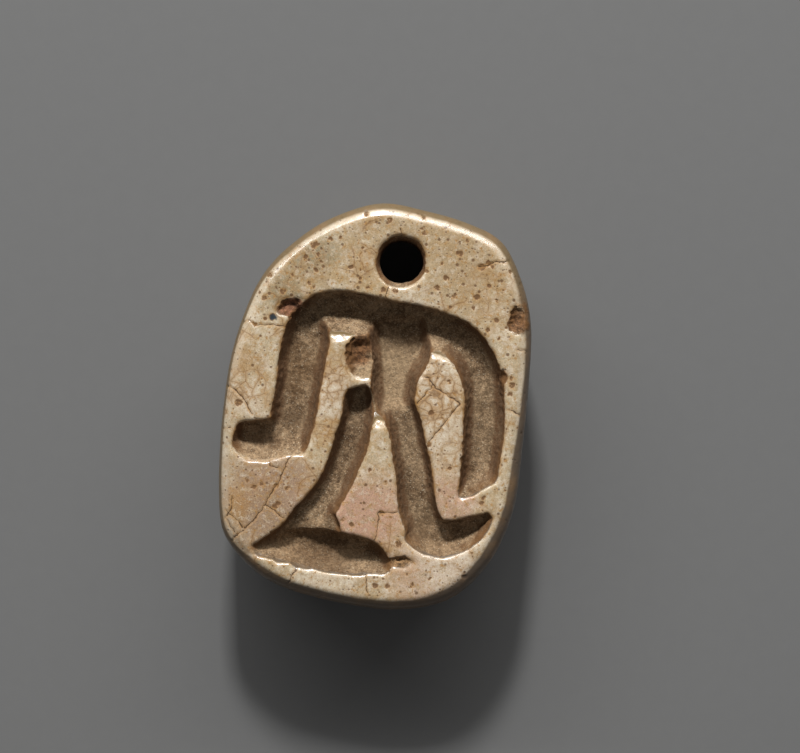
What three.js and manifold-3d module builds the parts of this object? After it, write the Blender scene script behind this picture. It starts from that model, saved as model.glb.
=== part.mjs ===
// Seal amulet: an oval plaque of glazed soft stone, pierced near one end, with a striding
// headless figure cut deep into its face. It lies on its back. X runs across it, Y runs up
// the figure towards the pierced end and Z runs out of the carved face, all in millimetres.
// The origin is on the back face, in the middle of the outline.
import * as THREE from "three";
import { mergeVertices } from "three/addons/utils/BufferGeometryUtils.js";
import Module from "manifold-3d";

// Overall sizes
const LENGTH = 16.0;
const WIDTH = 12.0;
const THICKNESS = 4.8;

// Rim: the widest line of the plaque, the worn shoulder above it and the round edge below
const SHOULDER_HEIGHT = 0.5;
const SHOULDER_SWEEP = THREE.MathUtils.degToRad(74);
const SIDE_DRAFT = 0.16;
const SIDE_BELLY = 0.3;
const BACK_EDGE_HEIGHT = 0.8;
const BACK_EDGE_WIDTH = 0.7;

// Hole, pierced from face to back by the upper end
const HOLE_DIAMETER = 1.8;
const HOLE_FROM_TOP = 2.26;
const HOLE_ASIDE = 0.58;
const HOLE_MOUTH_FLARE = 0.16;
const HOLE_MOUTH_DEPTH = 0.22;

// Figure: its own box on the face, under the hole
const FIGURE_BELOW_HOLE = 0.5;
const FIGURE_FROM_LEFT = 0.44;
const FIGURE_FROM_RIGHT = 0.88;
const FIGURE_FROM_BOTTOM = 1.41;

// Cuts: how deep each part of the figure goes, how its walls lean, and how far its floor lies
// towards the plaque's upper end, which leaves the lower walls less steep than the upper ones
const SHOULDERS_DEPTH = 0.95;
const TORSO_DEPTH = 1.3;
const ARM_DEPTH = 0.95;
const HAND_DEPTH = 0.8;
const LEG_DEPTH = 0.85;
const REAR_LEG_END_DEPTH = 0.6;
const REAR_ANKLE_DEPTH = 0.4;
const FRONT_FOOT_DEPTH = 0.75;
const REAR_FOOT_DEPTH = 0.95;
const WALL_DRAFT = 0.3;
const TORSO_WALL_DRAFT = 0.22;
const FLOOR_SHIFT = 0.26;
const FLOOR_CORNER = 0.14;
const FLOOR_CORNER_FROM = 0.8;
const LEAST_FLOOR = 0.12;
const END_DEPTH_FROM = 0.35;
const END_DEPTH_BY = 0.75;
const SLANT_OVER = 3;

// Fineness of the faceted surfaces
const RIM_STEP = 0.38;
const ARC_STEPS = 5;
const HOLE_SIDES = 36;
const CUT_STEP = 0.42;
const CUT_ABOVE_FACE = 0.5;
const CHIP_SIDES = 14;
const CHIP_RINGS = 10;
const CHIP_LIFT = 0.25;
const MERGE_WITHIN = 1e-5;

// Outline, seen from the face: shares of WIDTH and LENGTH, clockwise from the upper end
const OUTLINE = [
  [-0.03, 0.5],
  [0.115, 0.49],
  [0.245, 0.47],
  [0.37, 0.43],
  [0.44, 0.35],
  [0.49, 0.24],
  [0.5, 0.08],
  [0.495, -0.08],
  [0.48, -0.24],
  [0.41, -0.375],
  [0.295, -0.465],
  [0.135, -0.5],
  [-0.065, -0.495],
  [-0.285, -0.46],
  [-0.385, -0.415],
  [-0.465, -0.345],
  [-0.49, -0.26],
  [-0.5, -0.065],
  [-0.48, 0.12],
  [-0.4, 0.305],
  [-0.26, 0.42],
  [-0.15, 0.47],
];

// Width of the worn shoulder round the rim: [degrees clockwise from the upper end, width]
const SHOULDER_WIDTHS = [
  [0, 0.5],
  [45, 0.52],
  [90, 0.46],
  [118, 0.5],
  [140, 0.6],
  [165, 0.42],
  [195, 0.38],
  [235, 0.45],
  [270, 0.34],
  [315, 0.46],
];

// Strokes of the figure: [across, up, half-width]. Across and up are shares of the figure's
// own box, from its lower left corner, and a half-width is a share of the box's width.
// An end slant turns the far end of the stroke, in degrees anticlockwise, and an end depth is
// what the stroke's depth changes to on its way there.
const STROKES = {
  shoulders: {
    depth: SHOULDERS_DEPTH,
    stations: [
      [0.24, 0.905, 0.05],
      [0.29, 0.925, 0.068],
      [0.365, 0.93, 0.073],
      [0.53, 0.915, 0.073],
      [0.7, 0.895, 0.07],
      [0.805, 0.86, 0.072],
      [0.875, 0.795, 0.075],
      [0.91, 0.71, 0.075],
      [0.925, 0.585, 0.077],
      [0.925, 0.47, 0.075],
      [0.92, 0.325, 0.069],
    ],
    endSlant: 34,
  },
  torso: {
    depth: TORSO_DEPTH,
    wallDraft: TORSO_WALL_DRAFT,
    stations: [
      [0.58, 0.93, 0.11],
      [0.596, 0.82, 0.117],
      [0.594, 0.775, 0.11],
      [0.585, 0.735, 0.09],
      [0.585, 0.645, 0.082],
      [0.592, 0.572, 0.063],
    ],
  },
  leftArm: {
    depth: ARM_DEPTH,
    stations: [
      [0.25, 0.942, 0.056],
      [0.25, 0.825, 0.092],
      [0.24, 0.745, 0.088],
      [0.235, 0.655, 0.084],
      [0.225, 0.545, 0.086],
      [0.21, 0.41, 0.069],
    ],
  },
  leftHand: {
    depth: HAND_DEPTH,
    stations: [
      [0.01, 0.46, 0.045],
      [0.03, 0.455, 0.062],
      [0.085, 0.445, 0.073],
      [0.155, 0.455, 0.073],
      [0.26, 0.51, 0.069],
    ],
  },
  rearLeg: {
    depth: LEG_DEPTH,
    endDepth: REAR_LEG_END_DEPTH,
    stations: [
      [0.45, 0.664, 0.038],
      [0.458, 0.64, 0.06],
      [0.462, 0.565, 0.06],
      [0.445, 0.465, 0.066],
      [0.425, 0.395, 0.061],
      [0.4, 0.32, 0.059],
      [0.36, 0.245, 0.061],
      [0.305, 0.17, 0.066],
      [0.23, 0.105, 0.044],
      [0.105, 0.05, 0.012],
    ],
  },
  rearAnkle: {
    depth: REAR_ANKLE_DEPTH,
    stations: [
      [0.345, 0.215, 0.04],
      [0.365, 0.165, 0.055],
      [0.395, 0.11, 0.05],
    ],
  },
  rearFoot: {
    depth: REAR_FOOT_DEPTH,
    stations: [
      [0.105, 0.05, 0.012],
      [0.2, 0.068, 0.044],
      [0.275, 0.078, 0.066],
      [0.38, 0.068, 0.073],
      [0.47, 0.063, 0.072],
      [0.54, 0.058, 0.062],
      [0.59, 0.036, 0.04],
      [0.62, 0.022, 0.028],
    ],
  },
  frontLeg: {
    depth: LEG_DEPTH,
    stations: [
      [0.58, 0.64, 0.066],
      [0.636, 0.54, 0.065],
      [0.655, 0.465, 0.066],
      [0.68, 0.385, 0.068],
      [0.695, 0.295, 0.07],
      [0.715, 0.225, 0.071],
      [0.77, 0.135, 0.066],
    ],
  },
  frontFoot: {
    depth: FRONT_FOOT_DEPTH,
    stations: [
      [0.685, 0.185, 0.055],
      [0.77, 0.145, 0.07],
      [0.835, 0.15, 0.066],
      [0.885, 0.17, 0.055],
      [0.935, 0.2, 0.042],
      [0.98, 0.24, 0.014],
    ],
  },
};

// Chips, each a shallow scoop: its place in the figure's box, its two half-sizes, its depth
// and how far its long side is turned
const CHIPS = [
  { across: 0.456, up: 0.777, halfWidth: 0.66, halfLength: 0.95, depth: 0.46, turn: 4 },
  { across: 1.018, up: 0.955, halfWidth: 0.4, halfLength: 0.68, depth: 0.34, turn: -8 },
  { across: 0.66, up: 0.05, halfWidth: 0.6, halfLength: 0.22, depth: 0.2, turn: 0 },
  { across: 0.967, up: 0.742, halfWidth: 0.38, halfLength: 0.26, depth: 0.34, turn: 0 },
  { across: 0.175, up: 0.938, halfWidth: 0.62, halfLength: 0.32, depth: 0.32, turn: 24 },
];

const GLAZED_STONE = new THREE.MeshStandardMaterial({
  color: 0xcbb89a,
  roughness: 0.42,
  metalness: 0,
});

const wasm = await Module();
wasm.setup();

const hole = {
  x: HOLE_ASIDE,
  y: LENGTH / 2 - HOLE_FROM_TOP,
  radius: HOLE_DIAMETER / 2,
};

const figure = {
  left: -WIDTH / 2 + FIGURE_FROM_LEFT,
  right: WIDTH / 2 - FIGURE_FROM_RIGHT,
  bottom: -LENGTH / 2 + FIGURE_FROM_BOTTOM,
  top: hole.y - hole.radius - FIGURE_BELOW_HOLE,
};
figure.width = figure.right - figure.left;
figure.height = figure.top - figure.bottom;

function figurePoint(across, up) {
  return new THREE.Vector2(
    figure.left + across * figure.width,
    figure.bottom + up * figure.height,
  );
}

// A closed solid from rings of points with the same count, joined in order and closed by caps
function solidFromRings(rings, capTriangles) {
  const count = rings[0].length;
  const positions = rings.flat().flatMap((point) => [point.x, point.y, point.z]);
  const index = [];
  for (let ring = 0; ring < rings.length - 1; ring += 1) {
    for (let i = 0; i < count; i += 1) {
      const here = ring * count + i;
      const next = ring * count + ((i + 1) % count);
      index.push(here, next, here + count);
      index.push(next, next + count, here + count);
    }
  }
  const last = (rings.length - 1) * count;
  for (const [a, b, c] of capTriangles) {
    index.push(a, c, b);
    index.push(last + a, last + b, last + c);
  }
  const geometry = new THREE.BufferGeometry();
  geometry.setAttribute("position", new THREE.Float32BufferAttribute(positions, 3));
  geometry.setIndex(index);
  return toSolid(geometry);
}

function toSolid(geometry) {
  const bare = geometry.clone();
  bare.deleteAttribute("normal");
  bare.deleteAttribute("uv");
  const merged = mergeVertices(bare, MERGE_WITHIN);
  return new wasm.Manifold(
    new wasm.Mesh({
      numProp: 3,
      vertProperties: new Float32Array(merged.attributes.position.array),
      triVerts: new Uint32Array(merged.index.array),
    }),
  );
}

function toGeometry(solid) {
  const mesh = solid.getMesh();
  const geometry = new THREE.BufferGeometry();
  geometry.setAttribute("position", new THREE.Float32BufferAttribute(mesh.vertProperties, 3));
  geometry.setIndex(new THREE.Uint32BufferAttribute(mesh.triVerts, 1));
  geometry.computeVertexNormals();
  return geometry;
}

// Outline: evenly spaced points with the direction that faces out of the plaque
function rimPoints() {
  const corners = OUTLINE.map(([x, y]) => new THREE.Vector3(x * WIDTH, y * LENGTH, 0));
  const curve = new THREE.CatmullRomCurve3(corners, true, "centripetal");
  const count = Math.round(curve.getLength() / RIM_STEP);
  const points = curve.getSpacedPoints(count).slice(0, count).reverse();
  const box = new THREE.Box3().setFromPoints(points);
  const middle = box.getCenter(new THREE.Vector3());
  const size = box.getSize(new THREE.Vector3());
  for (const point of points) {
    point.sub(middle);
    point.x *= WIDTH / size.x;
    point.y *= LENGTH / size.y;
  }
  return points.map((point, i) => {
    const before = points[(i + count - 1) % count];
    const after = points[(i + 1) % count];
    const along = new THREE.Vector3().subVectors(after, before).normalize();
    return { point, outward: new THREE.Vector3(along.y, -along.x, 0) };
  });
}

// Shoulder width at a bearing, eased between the widths named round the rim
function shoulderWidth(point) {
  const bearing = THREE.MathUtils.euclideanModulo(
    THREE.MathUtils.radToDeg(Math.atan2(point.x / WIDTH, point.y / LENGTH)),
    360,
  );
  const count = SHOULDER_WIDTHS.length;
  for (let i = 0; i < count; i += 1) {
    const [from, width] = SHOULDER_WIDTHS[i];
    const [nextBearing, nextWidth] = SHOULDER_WIDTHS[(i + 1) % count];
    const to = nextBearing > from ? nextBearing : nextBearing + 360;
    if (bearing >= from && bearing <= to) {
      const blend = THREE.MathUtils.smoothstep(bearing, from, to);
      return THREE.MathUtils.lerp(width, nextWidth, blend);
    }
  }
  return SHOULDER_WIDTHS[0][1];
}

// Profile of the rim from the back face up to the carved face: each step has its height and
// says how far in from the widest line it lies, partly as a share of the shoulder's width.
// The side leans in towards the back, with a slight belly halfway up.
function rimProfile() {
  const girth = THICKNESS - SHOULDER_HEIGHT;
  const sideInset = SIDE_DRAFT * (girth - BACK_EDGE_HEIGHT);
  const steps = [];
  for (let i = 0; i <= ARC_STEPS; i += 1) {
    const turn = (i / ARC_STEPS) * (Math.PI / 2);
    steps.push({
      z: BACK_EDGE_HEIGHT * (1 - Math.cos(turn)),
      inset: sideInset + BACK_EDGE_WIDTH * (1 - Math.sin(turn)),
      shoulderShare: 0,
    });
  }
  steps.push({
    z: (girth + BACK_EDGE_HEIGHT) / 2,
    inset: sideInset * SIDE_BELLY,
    shoulderShare: 0,
  });
  for (let i = 0; i <= ARC_STEPS; i += 1) {
    const turn = (i / ARC_STEPS) * SHOULDER_SWEEP;
    steps.push({
      z: girth + (SHOULDER_HEIGHT * Math.sin(turn)) / Math.sin(SHOULDER_SWEEP),
      inset: 0,
      shoulderShare: (1 - Math.cos(turn)) / (1 - Math.cos(SHOULDER_SWEEP)),
    });
  }
  return steps;
}

function makeBody() {
  const rim = rimPoints();
  const rings = rimProfile().map(({ z, inset, shoulderShare }) =>
    rim.map(({ point, outward }) => {
      const inwards = inset + shoulderShare * shoulderWidth(point);
      return new THREE.Vector3(
        point.x - outward.x * inwards,
        point.y - outward.y * inwards,
        z,
      );
    }),
  );
  const flat = rings[0].map((point) => new THREE.Vector2(point.x, point.y));
  return solidFromRings(rings, THREE.ShapeUtils.triangulateShape(flat, []));
}

// One stroke of the figure, as the solid that is cut away: its section is wide at the face
// and narrower at the floor, and both ends lean in as the walls do. Where it is too narrow
// for its full depth it runs out shallower.
function makeStroke({
  depth,
  endDepth = depth,
  wallDraft = WALL_DRAFT,
  stations,
  endSlant = 0,
}) {
  const centres = stations.map(([across, up]) => {
    const place = figurePoint(across, up);
    return new THREE.Vector3(place.x, place.y, 0);
  });
  const curve = new THREE.CatmullRomCurve3(centres, false, "centripetal");
  const halfWidths = stations.map(([, , halfWidth]) => halfWidth * figure.width);
  const pathLength = curve.getLength();
  const steps = Math.ceil(pathLength / CUT_STEP);
  const slantSlope = Math.tan(THREE.MathUtils.degToRad(endSlant));
  const slantFrom = pathLength - SLANT_OVER * halfWidths[halfWidths.length - 1];

  // Half-width along the path, between the stations that it is named at
  const reach = stationReach(curve, stations.length);
  const halfWidthAt = (share) => {
    const i = Math.max(1, reach.findIndex((value) => value >= share));
    const blend = (share - reach[i - 1]) / (reach[i] - reach[i - 1]);
    return THREE.MathUtils.lerp(halfWidths[i - 1], halfWidths[i], blend);
  };

  const levels = [
    { depthShare: 0, runShare: 0, corner: 0, lift: CUT_ABOVE_FACE },
    { depthShare: 0, runShare: 0, corner: 0, lift: 0 },
    { depthShare: FLOOR_CORNER_FROM, runShare: FLOOR_CORNER_FROM, corner: 0, lift: 0 },
    { depthShare: 1, runShare: 1, corner: FLOOR_CORNER, lift: 0 },
  ];
  const rings = [];
  for (let step = 0; step <= steps; step += 1) {
    const share = step / steps;
    const halfWidth = halfWidthAt(share);
    const towardsEnd = THREE.MathUtils.smoothstep(share, END_DEPTH_FROM, END_DEPTH_BY);
    const depthHere = THREE.MathUtils.lerp(depth, endDepth, towardsEnd);
    const run = depthHere * wallDraft;
    const deepEnough = (run + FLOOR_CORNER) / (1 - LEAST_FLOOR);
    const shallower = Math.min(1, halfWidth / deepEnough);
    const slanted = THREE.MathUtils.smoothstep(share * pathLength, slantFrom, pathLength);
    const slant = slantSlope * slanted;
    const left = [];
    const right = [];
    for (const level of levels) {
      const inwards = (level.runShare * run + level.corner) * shallower;
      const endInset = inwards / pathLength;
      const place = THREE.MathUtils.lerp(endInset, 1 - endInset, share);
      const centre = curve.getPointAt(place);
      const along = curve.getTangentAt(place);
      const half = halfWidth - inwards;
      const z = THICKNESS + level.lift - level.depthShare * depthHere * shallower;
      const acrossX = (-along.y - slant * along.x) * half;
      const acrossY = (along.x - slant * along.y) * half;
      const y = centre.y + FLOOR_SHIFT * level.depthShare * shallower;
      left.push(new THREE.Vector3(centre.x + acrossX, y + acrossY, z));
      right.push(new THREE.Vector3(centre.x - acrossX, y - acrossY, z));
    }
    rings.push([...right, ...left.reverse()]);
  }
  return solidFromRings(rings, ladderCap(levels.length));
}

// Share of the path's length at which each station lies
function stationReach(curve, count) {
  const lengths = curve.getLengths((count - 1) * curve.arcLengthDivisions);
  const total = lengths[lengths.length - 1];
  return Array.from(
    { length: count },
    (unused, i) => lengths[i * curve.arcLengthDivisions] / total,
  );
}

// Cap of a stroke's end: rungs between the points on the two sides of one section
function ladderCap(levelCount) {
  const triangles = [];
  for (let level = 0; level < levelCount - 1; level += 1) {
    const near = level;
    const far = 2 * levelCount - 1 - level;
    triangles.push([near, near + 1, far], [near + 1, far - 1, far]);
  }
  return triangles;
}

// The hole: a straight bore with a small worn flare at each mouth
function makeHole() {
  const flared = hole.radius + HOLE_MOUTH_FLARE;
  const profile = [
    [0, -CUT_ABOVE_FACE],
    [flared, -CUT_ABOVE_FACE],
    [flared, 0],
    [hole.radius, HOLE_MOUTH_DEPTH],
    [hole.radius, THICKNESS - HOLE_MOUTH_DEPTH],
    [flared, THICKNESS],
    [flared, THICKNESS + CUT_ABOVE_FACE],
    [0, THICKNESS + CUT_ABOVE_FACE],
  ].map(([x, y]) => new THREE.Vector2(x, y));
  const geometry = new THREE.LatheGeometry(profile, HOLE_SIDES);
  geometry.rotateX(Math.PI / 2);
  geometry.translate(hole.x, hole.y, 0);
  return toSolid(geometry);
}

// One chip: the part of a flattened ball that reaches below the face. The ball's centre is
// raised a little, so that the chip's edge is shallow.
function makeChip({ across, up, halfWidth, halfLength, depth, turn }) {
  const ball = new THREE.SphereGeometry(1, CHIP_SIDES, CHIP_RINGS);
  ball.rotateX(Math.PI / 2);
  ball.translate(0, 0, CHIP_LIFT);
  const spread = 1 / Math.sqrt(1 - CHIP_LIFT * CHIP_LIFT);
  ball.scale(halfWidth * spread, halfLength * spread, depth / (1 - CHIP_LIFT));
  ball.rotateZ(THREE.MathUtils.degToRad(turn));
  const place = figurePoint(across, up);
  ball.translate(place.x, place.y, THICKNESS);
  return toSolid(ball);
}

function makeAmulet() {
  let cuts = makeHole();
  for (const stroke of Object.values(STROKES)) {
    cuts = cuts.add(makeStroke(stroke));
  }
  for (const chip of CHIPS) {
    cuts = cuts.add(makeChip(chip));
  }
  const amulet = new THREE.Mesh(toGeometry(makeBody().subtract(cuts)), GLAZED_STONE);
  amulet.name = "seal_amulet";
  return amulet;
}

const group = new THREE.Group();
group.name = "amulet";
group.add(makeAmulet());

export default group;
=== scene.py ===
"""Looks of the seal amulet: a small pierced plaque of glazed soft stone with a cut figure.

The plaque is one piece. Its worn lips, pits, cracks and grain are worked into its surface,
and its material shows crazed cream glaze on what was left uncut and bare granular stone in
the cuts. Lengths named with MM are millimetres, and all others are metres.
"""

import math

import bmesh
import bpy
from bpy.props import FloatProperty, FloatVectorProperty, IntProperty, PointerProperty
from mathutils import Matrix, Vector


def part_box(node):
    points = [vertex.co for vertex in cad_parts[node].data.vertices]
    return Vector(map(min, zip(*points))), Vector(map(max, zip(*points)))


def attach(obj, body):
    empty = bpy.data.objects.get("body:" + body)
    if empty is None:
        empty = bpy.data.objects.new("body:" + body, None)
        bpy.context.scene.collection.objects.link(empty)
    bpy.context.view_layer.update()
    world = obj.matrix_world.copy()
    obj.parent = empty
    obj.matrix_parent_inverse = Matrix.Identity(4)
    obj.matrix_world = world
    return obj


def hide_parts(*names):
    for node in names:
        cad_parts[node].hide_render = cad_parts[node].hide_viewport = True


bl_info = {
    "name": "Seal amulet",
    "version": (1, 0, 0),
    "blender": (4, 5, 0),
    "location": "3D View > Sidebar > Amulet",
    "description": "Makes the worn glazed surface of a pierced seal amulet, and its stage",
    "category": "Add Mesh",
}

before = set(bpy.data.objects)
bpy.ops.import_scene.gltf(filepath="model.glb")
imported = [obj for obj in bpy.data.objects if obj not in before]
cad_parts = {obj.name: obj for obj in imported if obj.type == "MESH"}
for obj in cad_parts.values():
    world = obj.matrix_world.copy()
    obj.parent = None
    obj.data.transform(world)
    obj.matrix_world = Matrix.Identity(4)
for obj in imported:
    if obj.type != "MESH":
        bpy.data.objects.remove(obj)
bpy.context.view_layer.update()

NODE = "seal_amulet"
PIECE = "amulet_surface"
MM = 1000.0
WELD = 1e-7
FINE_MESH_DEPTH_MM = 1.7
CARVED_SHARE = 0.97
SENSOR_MM = 36.0
NEAREST_SEEN = 0.001
LOW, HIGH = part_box(NODE)
HALVES = (0.5, 0.5, 0.5)
FACE_MM = HIGH.z * MM
HALF_WIDTH_MM = HIGH.x * MM
HALF_LENGTH_MM = HIGH.y * MM

# Cracks that can be followed by eye on the face: their corners, in millimetres
CRACKS = {
    "hand to left rim": [(-3.1, -2.0), (-3.5, -3.2), (-4.0, -4.2), (-4.4, -4.9), (-5.2, -5.7)],
    "branch to the rear leg": [(-4.0, -4.2), (-3.65, -4.4), (-3.25, -4.7)],
    "branch to the left rim": [(-4.8, -5.2), (-5.0, -4.9), (-5.5, -4.6)],
    "up the lower left rim": [(-5.1, -5.4), (-5.5, -4.9), (-5.3, -4.4), (-5.3, -4.0)],
    "below the rear heel": [(-2.5, -6.3), (-2.6, -6.7), (-2.9, -7.3)],
    "below the toe": [(0.15, -6.6), (0.2, -6.9), (0.25, -7.4)],
    "between the legs": [(0.45, -4.2), (0.5, -4.6), (0.4, -5.3)],
    "between the legs, across": [(0.5, -4.2), (0.85, -4.15), (1.2, -4.1)],
    "right tongue, lower": [(3.35, 0.35), (2.8, -0.4), (2.2, -1.3)],
    "right tongue, upper": [(1.6, 1.35), (2.0, 1.25), (2.2, 0.95), (2.75, 0.65), (3.35, 0.35)],
    "right tongue, left": [(2.2, 0.95), (1.9, 0.6), (1.65, 0.2)],
    "upper left rim": [(-5.5, 2.85), (-5.2, 2.95), (-4.9, 2.8), (-4.3, 2.85), (-3.7, 2.8)],
    "left rim by the arm": [(-5.9, 0.35), (-5.5, 0.15), (-5.2, -0.05), (-4.8, -0.7)],
    "left rim, short": [(-6.0, -1.35), (-5.6, -1.3)],
    "right rim by the arm": [(5.1, 0.25), (5.35, 0.2), (5.7, 0.1)],
    "right rim, upper": [(5.4, 2.6), (5.85, 2.6)],
    "upper right": [(3.6, 5.75), (4.0, 5.85), (4.35, 6.0), (4.85, 6.05)],
    "above the bore": [(0.45, 7.0), (0.55, 6.65)],
    "below the bore": [(0.15, 4.7), (0.1, 4.2)],
    "hand, lower lip": [(-4.0, -2.4), (-3.9, -2.7), (-3.6, -2.75)],
}

# Larger pits and small chips, each with its place and radius in millimetres
PITS = [
    (2.85, 6.2, 0.19), (3.75, 5.75, 0.22), (4.15, 5.8, 0.11), (2.2, 5.75, 0.12),
    (2.4, 5.2, 0.15), (2.05, 4.8, 0.17), (2.8, 4.55, 0.13), (3.65, 4.55, 0.17),
    (4.1, 5.05, 0.11), (4.2, 3.3, 0.13), (4.65, 3.0, 0.11), (1.4, 6.9, 0.12),
    (-2.25, 6.4, 0.13), (-2.9, 6.1, 0.17), (-2.7, 5.75, 0.13), (-3.65, 4.85, 0.11),
    (-2.95, 4.6, 0.11), (-3.95, 4.2, 0.16), (-4.65, 3.9, 0.13), (-0.65, 4.6, 0.11),
    (-4.3, 3.15, 0.17), (5.25, 1.5, 0.13), (5.3, 1.2, 0.15), (5.25, 0.85, 0.11),
    (1.55, 5.45, 0.16), (-0.55, -4.75, 0.13), (0.6, -4.2, 0.15), (0.65, -3.0, 0.11),
    (-5.3, -0.3, 0.12), (-3.5, -4.1, 0.15), (-3.2, -3.5, 0.13), (-4.8, -3.3, 0.11),
    (-4.2, -3.4, 0.12), (0.55, -7.05, 0.14), (1.05, -7.0, 0.14), (2.0, -6.9, 0.13),
    (2.85, 1.15, 0.11), (4.55, -3.25, 0.13), (-3.2, -0.6, 0.16),
]

# Broad stains in the glaze: place and radius in millimetres, colour and strength
STAINS = [
    (3.0, 6.2, 2.0, "tan", 0.65),
    (0.9, 7.0, 1.6, "tan", 0.55),
    (-0.8, 6.6, 1.6, "tan", 0.4),
    (2.9, 4.3, 1.4, "tan", 0.35),
    (0.0, -4.4, 2.0, "blush", 1.0),
    (-3.3, -3.5, 1.8, "blush", 0.7),
    (-3.9, -4.1, 2.3, "dusk", 0.95),
    (2.6, -6.3, 2.2, "blush", 0.6),
    (3.7, -5.7, 2.0, "chalk", 0.7),
    (3.1, -3.4, 1.3, "blush", 0.8),
    (-2.9, 5.8, 1.2, "olive", 0.7),
    (-4.0, 4.2, 1.0, "olive", 0.7),
    (2.3, 0.9, 1.3, "ochre", 0.3),
    (-5.3, 1.4, 0.9, "ochre", 0.5),
    (3.2, -2.0, 0.9, "ochre", 0.4),
    (-1.4, -0.9, 0.9, "ochre", 0.3),
    (-4.9, -0.1, 1.0, "chalk", 0.6),
    (-1.9, 0.2, 1.3, "chalk", 0.85),
    (2.3, -0.9, 1.0, "chalk", 0.6),
    (-1.6, -7.1, 1.6, "chalk", 0.5),
    (1.0, 4.2, 1.2, "chalk", 0.3),
    (3.2, -1.0, 2.0, "chalk", 0.55),
    (2.3, 1.2, 1.4, "chalk", 0.85),
    (-5.2, -4.3, 1.0, "ochre", 0.5),
]

# Mottles of the glaze, from the first laid to the last: colour, marks in a millimetre, detail and
# roughness of their noise, the levels of it between which they fade in, and strength
BROAD_MOTTLES = [
    ("tan", 0.45, 4.0, 0.5, 0.4, 0.64, 0.5),
    ("chalk", 2.1, 5.0, 0.65, 0.47, 0.6, 0.6),
    ("amber", 1.581, 5.0, 0.7, 0.49, 0.61, 0.6),
]
FINE_MOTTLES = [
    ("tan", 3.424, 6.0, 0.7, 0.5, 0.64, 0.6),
    ("ochre", 5.0, 5.0, 0.7, 0.54, 0.64, 0.8),
    ("chalk", 5.502, 4.0, 0.7, 0.52, 0.64, 0.5),
    ("tan", 11.0, 3.0, 0.75, 0.52, 0.64, 0.6),
]

# Dark spots that lie over every other mark of the glaze, given as the stains are
DARK_SPOTS = [
    (-4.3, 3.14, 0.15, "slate", 1.0),
    (-4.2, 3.16, 0.14, "slate", 1.0),
]

# Stains of the bare stone in the cuts, given in the same way
STONE_STAINS = [
    (0.75, 1.3, 1.9, "pale_stone", 0.95),
    (0.9, -1.6, 1.3, "pale_stone", 0.35),
    (2.0, -4.6, 1.2, "pale_stone", 0.3),
    (3.9, 0.0, 1.9, "pale_stone", 0.3),
    (-3.2, 1.2, 1.6, "ochre_stone", 0.5),
    (-2.4, -5.9, 1.7, "ochre_stone", 0.5),
    (2.6, -5.4, 1.2, "ochre_stone", 0.3),
    (-1.7, -6.1, 1.6, "stone_dark", 0.75),
    (2.9, -5.3, 1.3, "stone_dark", 0.35),
    (-0.9, -1.6, 1.3, "stone_dark", 0.3),
    (-4.3, -1.7, 0.9, "stone_dark", 0.75),
    (-3.2, -0.7, 0.5, "stone_dark", 0.8),
]

# Broken spots, where the stone is rough and more deeply stained, given in the same way
CHIPPED = [
    (-3.65, 3.6, 0.75, "russet", 0.9),
    (-0.95, 1.9, 0.95, "umber", 1.0),
    (5.25, 3.8, 0.8, "umber", 0.85),
    (4.95, 1.5, 0.45, "umber", 0.7),
    (1.5, -6.05, 0.7, "ochre_stone", 0.9),
]

# Where the glaze is crazed into small cells: place and radius in millimetres, and strength
CRAZED = [
    (2.4, 0.5, 1.5, 1.0),
    (-1.8, 0.9, 1.5, 0.9),
    (-1.4, -1.2, 1.0, 0.7),
    (-5.2, 0.3, 1.2, 0.8),
    (3.3, -1.6, 1.2, 0.6),
    (4.2, 4.6, 1.6, 0.5),
    (-3.4, 5.2, 1.4, 0.5),
    (-4.4, -3.4, 1.0, 0.4),
]

# Land tips and lower lips that are worn to a slope towards the upper end, in millimetres: the
# middle of each lip, how far the wear reaches to its sides and how far in from it the wear begins
WORN_LIPS = [
    (-1.55, 2.75, 0.8, 0.42),
    (2.38, 2.35, 0.5, 0.45),
    (0.05, -0.12, 0.5, 0.8),
    (-4.5, -2.42, 0.8, 0.2),
    (3.95, -3.1, 0.45, 0.22),
    (2.75, -5.6, 0.7, 0.2),
    (-3.9, -6.15, 0.45, 0.25),
    (-3.2, -6.35, 0.4, 0.2),
    (-2.4, -6.53, 0.5, 0.2),
    (-1.3, -6.6, 0.5, 0.13),
    (-0.2, -6.6, 0.45, 0.18),
]


def length(name, description, default):
    return FloatProperty(name=name, description=description, default=default, unit="LENGTH")


def power(name, description, default):
    return FloatProperty(name=name, description=description, default=default, unit="POWER")


def angle(name, description, degrees):
    return FloatProperty(
        name=name, description=description, default=math.radians(degrees), subtype="ANGLE"
    )


def colour(name, description, default):
    return FloatVectorProperty(
        name=name,
        description=description,
        default=default,
        subtype="COLOR",
        size=3,
        min=0.0,
        max=1.0,
    )


# Sizes of the wear that the node tree takes in millimetres
WORN_SIZES = (
    "wander",
    "unevenness",
    "tool_marks",
    "grain",
    "pit_spacing",
    "pit_depth",
    "crack_depth",
    "fracture",
)


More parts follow.
